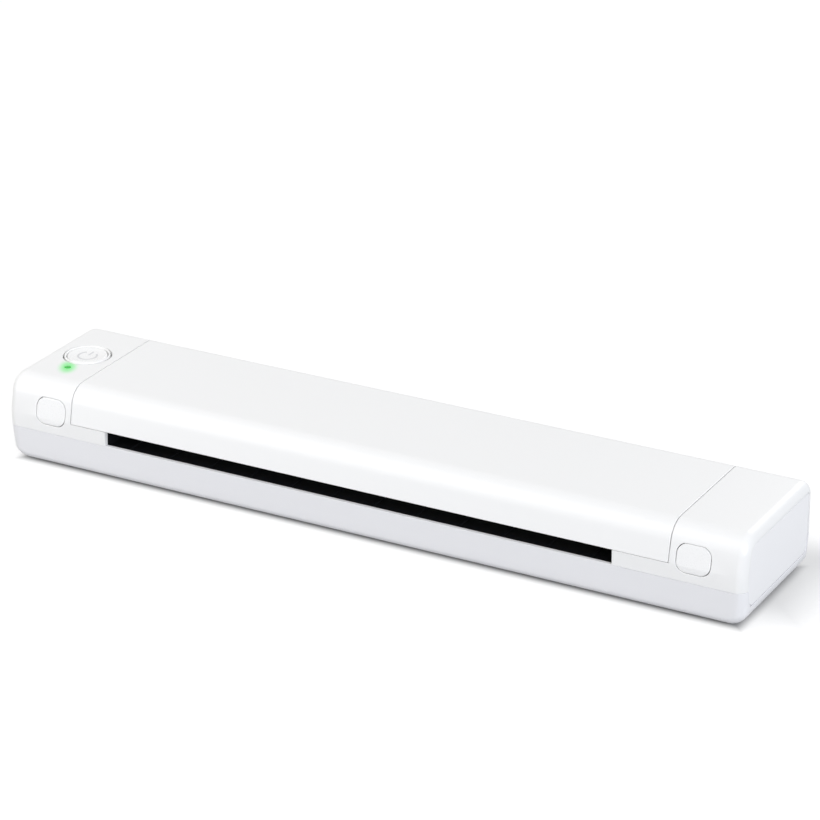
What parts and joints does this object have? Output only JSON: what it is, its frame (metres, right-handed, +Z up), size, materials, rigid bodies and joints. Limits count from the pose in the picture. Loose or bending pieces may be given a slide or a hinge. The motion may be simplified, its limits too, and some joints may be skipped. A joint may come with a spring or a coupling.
{
  "type": "a4 portable thermal printer",
  "caption": "Slim bar-shaped A4 thermal printer with a hinged cover over the print line, paper slots front and back, release buttons on the front corners and a power button on top.",
  "frame": {"origin": "on the table under the middle of the case", "axes": "+X along the case to the right seen from the front, -Y towards the front slot, +Z up"},
  "size_m": [0.314, 0.0608, 0.0358],
  "materials": {
    "white_shell": "fine satin moulded ABS",
    "white_base": "fine satin moulded ABS",
    "white_panel": "fine spark-eroded texture",
    "white_button": "polished",
    "black_moulding": "satin",
    "dark_moulding": "moulded acetal",
    "gear_moulding": "moulded acetal",
    "platen_rubber": "ground",
    "foot_rubber": "matt",
    "steel": "ground",
    "plated_steel": "zinc plated sheet",
    "screw_steel": "black zinc",
    "spring_steel": "drawn wire",
    "bronze": "sintered",
    "aluminium": "extruded",
    "ceramic": "glazed",
    "resin": "potting resin",
    "circuit_board": "solder mask",
    "chip": "moulded epoxy",
    "battery_wrap": "shrink film",
    "lamp_lens": "clear green"
  },
  "bodies": {
    "base": {"lower_shell": "white_base", "left_end_housing": "white_shell", "right_end_housing": "white_shell", "left_side_panel": "white_panel", "right_side_panel": "white_panel", "paper_deck": "black_moulding", "left_bush": "bronze", "right_bush": "bronze", "gear_plate": "plated_steel", "idler_axle": "steel", "stepper_motor": "plated_steel", "main_board": "circuit_board", "board_chips": "chip", "charge_board": "circuit_board", "usb_port": "plated_steel", "battery_pack": "battery_wrap", "button_board": "circuit_board", "power_switch": "chip", "power_ring": "white_button", "status_lens": "lamp_lens", "paper_sensor": "chip", "cover_switch": "chip", "hinge_pins": "steel", "case_screws": "screw_steel", "deck_screws": "screw_steel", "board_screws": "screw_steel", "motor_screws": "screw_steel", "rubber_feet": "foot_rubber", "left_latch_spring": "spring_steel", "right_latch_spring": "spring_steel"},
    "cover": {"cover_shell": "white_shell", "head_frame": "black_moulding", "left_catch": "plated_steel", "right_catch": "plated_steel", "frame_screws": "screw_steel", "head_springs": "spring_steel"},
    "print_head": {"head_ceramic": "ceramic", "head_heatsink": "aluminium", "head_driver_cover": "resin", "head_screws": "screw_steel"},
    "platen": {"platen_shaft": "steel", "platen_rubber": "platen_rubber", "platen_gear": "gear_moulding", "shaft_clip": "spring_steel"},
    "idler": {"idler_gear": "gear_moulding"},
    "motor_rotor": {"motor_pinion": "bronze", "motor_shaft": "steel"},
    "left_release": {"left_release_button": "white_button", "left_latch_slider": "dark_moulding"},
    "right_release": {"right_release_button": "white_button", "right_latch_slider": "dark_moulding"},
    "power_button": {"power_button_cap": "white_button"}
  },
  "joints": [
    {"name": "cover_hinge", "type": "hinge", "parent": "base", "child": "cover", "pos_m": [0, 0.0255, 0.0305], "axis": [-1, 0, 0], "range_deg": [0, 80]},
    {"name": "head_float", "type": "slide", "parent": "cover", "child": "print_head", "axis": [0, 0, 1], "range_m": [0, 0.0008], "stiffness_N_per_m": 1500, "springref_m": -0.001, "deforming": ["head_springs"]},
    {"name": "left_release_press", "type": "slide", "parent": "base", "child": "left_release", "axis": [0, 1, 0], "range_m": [0, 0.0022], "stiffness_N_per_m": 300, "springref_m": -0.002, "deforming": ["left_latch_spring"]},
    {"name": "right_release_press", "type": "slide", "parent": "base", "child": "right_release", "axis": [0, 1, 0], "range_m": [0, 0.0022], "stiffness_N_per_m": 300, "springref_m": -0.002, "deforming": ["right_latch_spring"]},
    {"name": "power_press", "type": "slide", "parent": "base", "child": "power_button", "axis": [0, 0, -1], "range_m": [0, 0.0006], "stiffness_N_per_m": 500, "springref_m": -0.0005},
    {"name": "platen_spin", "type": "hinge", "parent": "base", "child": "platen", "pos_m": [0, -0.002, 0.0115], "axis": [1, 0, 0], "continuous": true},
    {"name": "idler_spin", "type": "hinge", "parent": "base", "child": "idler", "pos_m": [0.1144, 0.0062, 0.0097], "axis": [1, 0, 0], "continuous": true},
    {"name": "motor_spin", "type": "hinge", "parent": "base", "child": "motor_rotor", "pos_m": [0.1178, 0.01351, 0.0109], "axis": [1, 0, 0], "continuous": true}
  ],
  "couplings": [
    {"joint": "idler_spin", "follows": "platen_spin", "ratio": -2.5},
    {"joint": "motor_spin", "follows": "platen_spin", "ratio": 5.2083}
  ]
}
